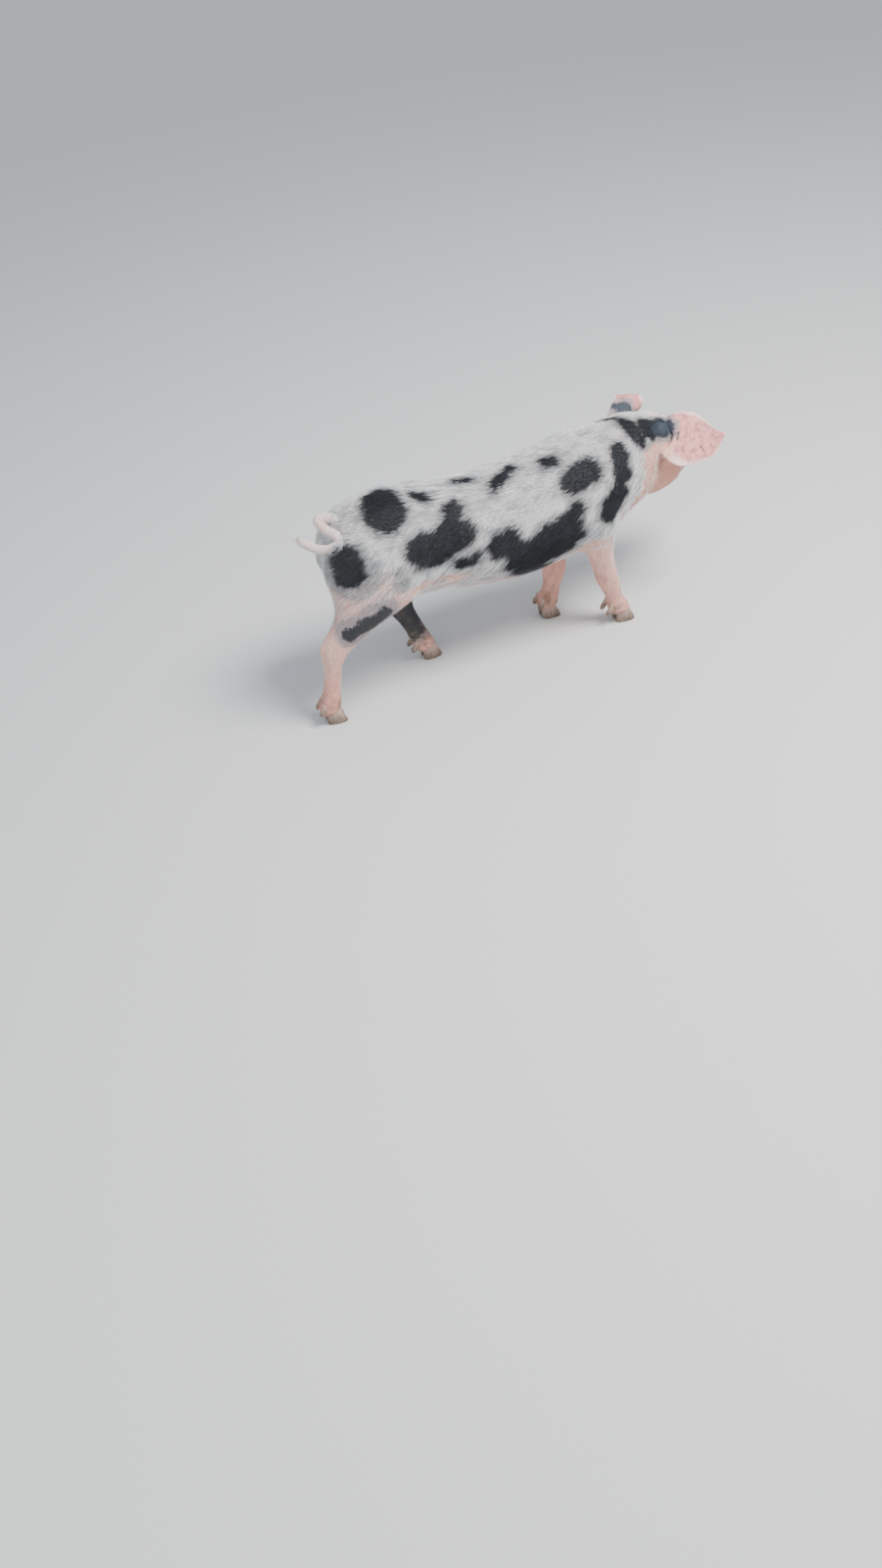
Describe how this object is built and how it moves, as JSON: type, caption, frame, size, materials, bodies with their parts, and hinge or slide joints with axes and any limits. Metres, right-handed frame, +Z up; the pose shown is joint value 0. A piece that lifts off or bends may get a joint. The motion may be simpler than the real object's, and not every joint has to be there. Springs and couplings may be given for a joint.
{
  "type": "pig",
  "caption": "Young spotted domestic pig standing in mid-walk, white with black patches, drooping ears and a curled tail; a still, life-size display model.",
  "frame": {"origin": "on the floor, under the middle of the animal's bounding box", "axes": "+Z up, -Y towards the pig's snout, +X towards the pig's left side"},
  "size_m": [0.2862, 0.9978, 0.4354],
  "materials": {
    "hide": "short cream-white bristle over pink skin, with frayed black patches ringed in blue-grey",
    "bare_skin": "thinly haired pink skin, dirty towards the feet",
    "ear": "thin pink skin with fine hair and a few dark specks, grey at the root",
    "nose": "bare moist pink skin",
    "horn": "worn brown horn with dried dirt",
    "eye": "dark brown, wet and glossy"
  },
  "bodies": {
    "root": {"trunk": "hide", "neck": "hide", "head": "hide", "jaw": "hide", "nose_disc": "nose", "eye_right": "eye", "eye_left": "eye", "ear_right": "ear", "ear_left": "ear", "tail": "bare_skin", "fore_right_leg": "bare_skin", "fore_right_trotter": "bare_skin", "fore_right_claw_inner": "horn", "fore_right_claw_outer": "horn", "fore_right_dewclaw_inner": "horn", "fore_right_dewclaw_outer": "horn", "fore_left_leg": "bare_skin", "fore_left_trotter": "bare_skin", "fore_left_claw_inner": "horn", "fore_left_claw_outer": "horn", "fore_left_dewclaw_inner": "horn", "fore_left_dewclaw_outer": "horn", "hind_right_leg": "bare_skin", "hind_right_trotter": "bare_skin", "hind_right_claw_inner": "horn", "hind_right_claw_outer": "horn", "hind_right_dewclaw_inner": "horn", "hind_right_dewclaw_outer": "horn", "hind_left_leg": "bare_skin", "hind_left_trotter": "bare_skin", "hind_left_claw_inner": "horn", "hind_left_claw_outer": "horn", "hind_left_dewclaw_inner": "horn", "hind_left_dewclaw_outer": "horn"}
  },
  "joints": []
}
